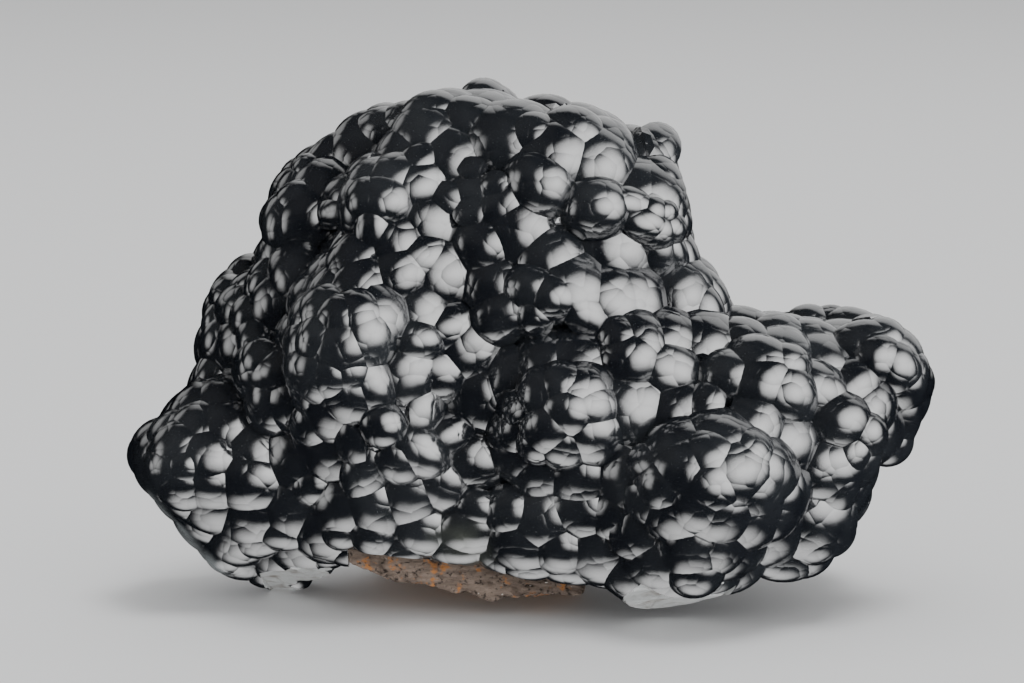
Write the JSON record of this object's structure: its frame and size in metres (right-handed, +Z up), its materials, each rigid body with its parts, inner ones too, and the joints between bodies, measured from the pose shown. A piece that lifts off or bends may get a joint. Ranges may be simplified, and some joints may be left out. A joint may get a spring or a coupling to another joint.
{
  "type": "goethite mineral specimen",
  "caption": "Cabinet specimen of black, mirror-bright botryoidal goethite grown over a slab of brown iron-stained rock.",
  "frame": {"origin": "middle of the specimen's footprint, on the surface that it rests on", "axes": "+X to the right along the specimen's length, +Y from the pictured front to the back, +Z up"},
  "size_m": [0.1216, 0.0659, 0.0788],
  "materials": {
    "goethite": "black, mirror-bright natural botryoidal surface",
    "rock": "rough, porous, iron-stained"
  },
  "bodies": {
    "root": {"goethite_botryoids": "goethite", "matrix_rock": "rock"}
  },
  "joints": []
}
